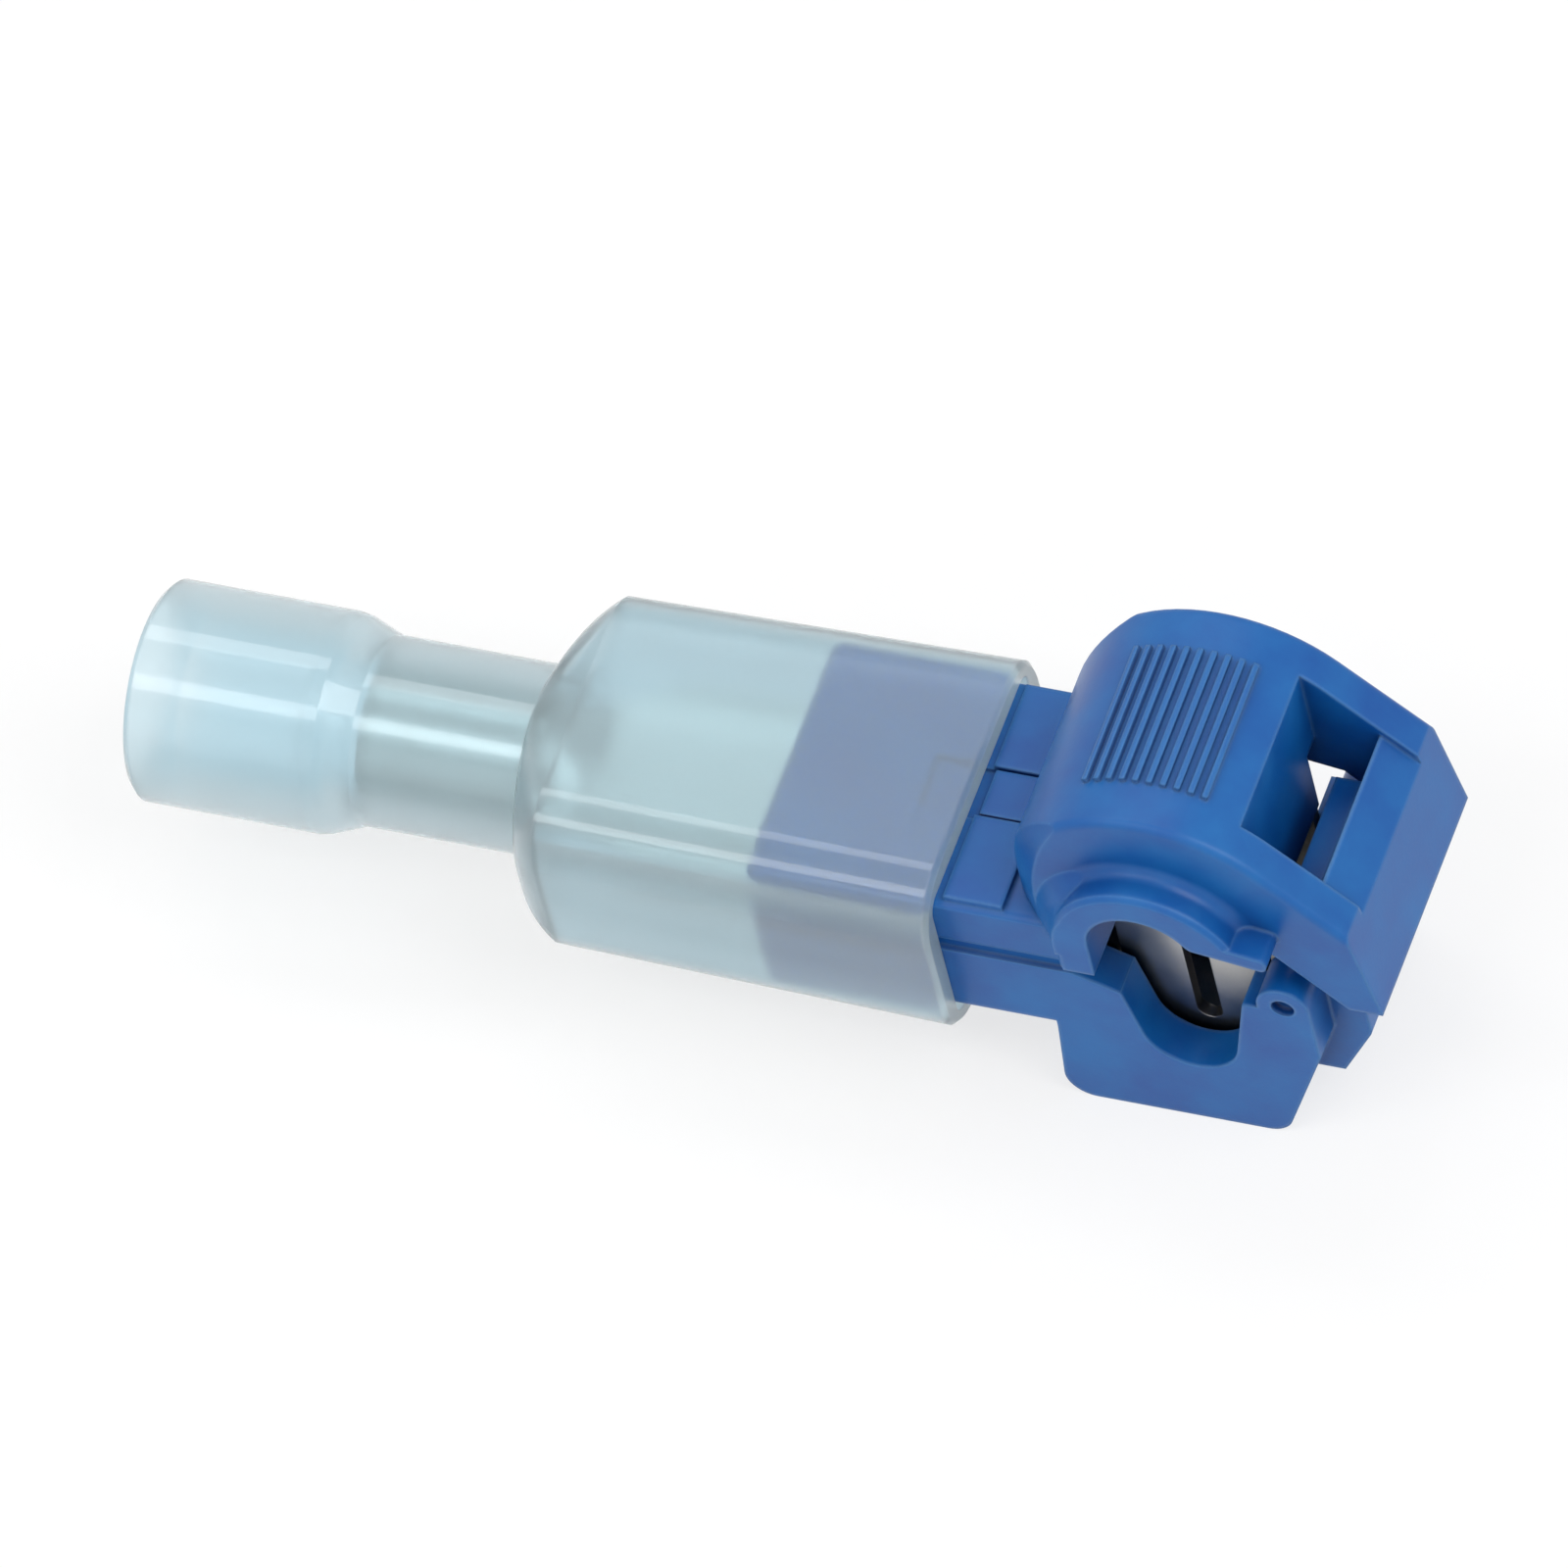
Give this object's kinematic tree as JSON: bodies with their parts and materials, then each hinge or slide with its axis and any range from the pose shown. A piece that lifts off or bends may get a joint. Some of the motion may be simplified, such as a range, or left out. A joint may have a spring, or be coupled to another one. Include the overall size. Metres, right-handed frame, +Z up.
{
  "type": "t-tap wire connector",
  "caption": "Closed T-tap splice body with a hinged latching lid and slotted contact, with a fully insulated male disconnect plugged in to branch off a running wire.",
  "frame": {"origin": "on the keel's underside, straight below the main wire's channel, in the middle of the body's width", "axes": "+X runs from the branch wire's funnel to the latch, Y along the main wire's channel, +Z up towards the lid"},
  "size_m": [0.0398, 0.0102, 0.0145],
  "materials": {
    "blue_plastic": "smooth moulded nylon, slightly translucent",
    "sleeve_plastic": "translucent pale blue nylon",
    "tinned_brass": "tin-plated sheet"
  },
  "bodies": {
    "body": {"tap_body": "blue_plastic", "tap_blade": "tinned_brass"},
    "lid": {"tap_lid": "blue_plastic"},
    "plug": {"disconnect_sleeve": "sleeve_plastic", "male_terminal": "tinned_brass", "crimp_ferrule": "tinned_brass"}
  },
  "joints": [
    {"name": "lid_hinge", "type": "hinge", "parent": "body", "child": "lid", "pos_m": [-0.0051, 0, 0.0086], "axis": [0, -1, 0], "range_deg": [0, 75]},
    {"name": "disconnect_slide", "type": "slide", "parent": "body", "child": "plug", "axis": [-1, 0, 0], "range_m": [0, 0.008]}
  ]
}
